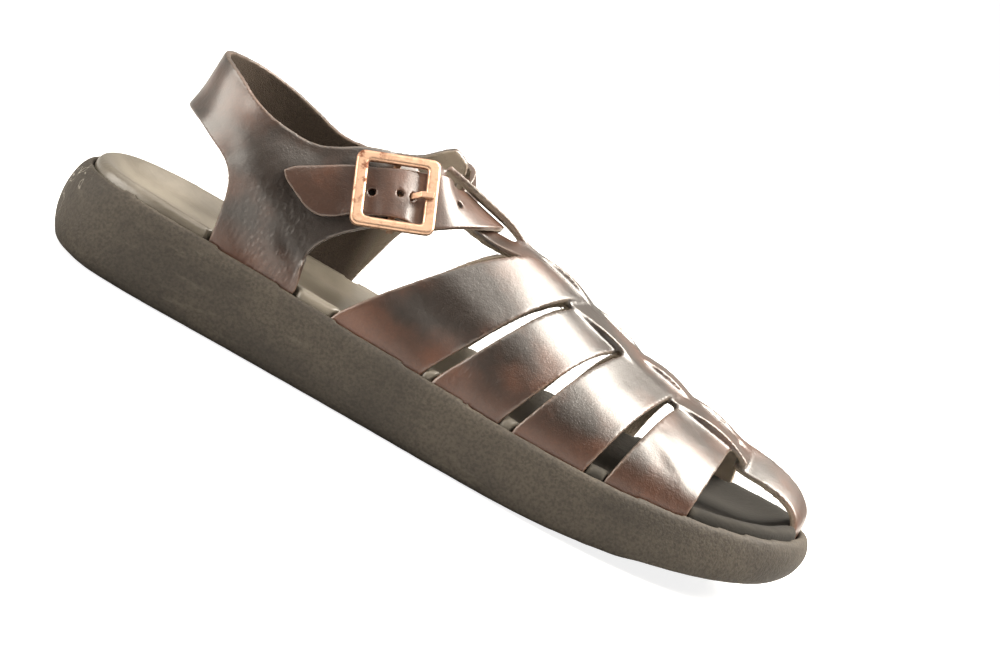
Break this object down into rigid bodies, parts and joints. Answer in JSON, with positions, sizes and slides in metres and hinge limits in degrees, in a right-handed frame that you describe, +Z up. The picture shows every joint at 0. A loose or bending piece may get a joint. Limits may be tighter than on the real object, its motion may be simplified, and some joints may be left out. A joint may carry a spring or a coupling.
{
  "type": "huarache sandal",
  "caption": "Right-foot leather sandal: thick rounded sole, rimmed footbed, woven vamp straps, heel quarter with a sling and a buckled instep strap.",
  "frame": {"origin": "under the middle of the sole length and the outline centre line, at the tread", "axes": "+X from heel to toe, -Y the outer (lateral) side, +Z up"},
  "size_m": [0.2898, 0.1058, 0.092],
  "materials": {
    "sole_rubber": "matte, slightly mottled",
    "footbed_leather": "semi-gloss",
    "strap_leather": "polished",
    "buckle_metal": "worn copper plate with dark patina",
    "rivet_metal": "dull, scratched"
  },
  "bodies": {
    "root": {"outsole": "sole_rubber", "footbed": "footbed_leather", "vamp_weave": "strap_leather", "quarter": "strap_leather", "instep_strap": "strap_leather", "buckle_frame": "buckle_metal", "buckle_prong": "buckle_metal", "strap_rivet": "rivet_metal"}
  },
  "joints": []
}
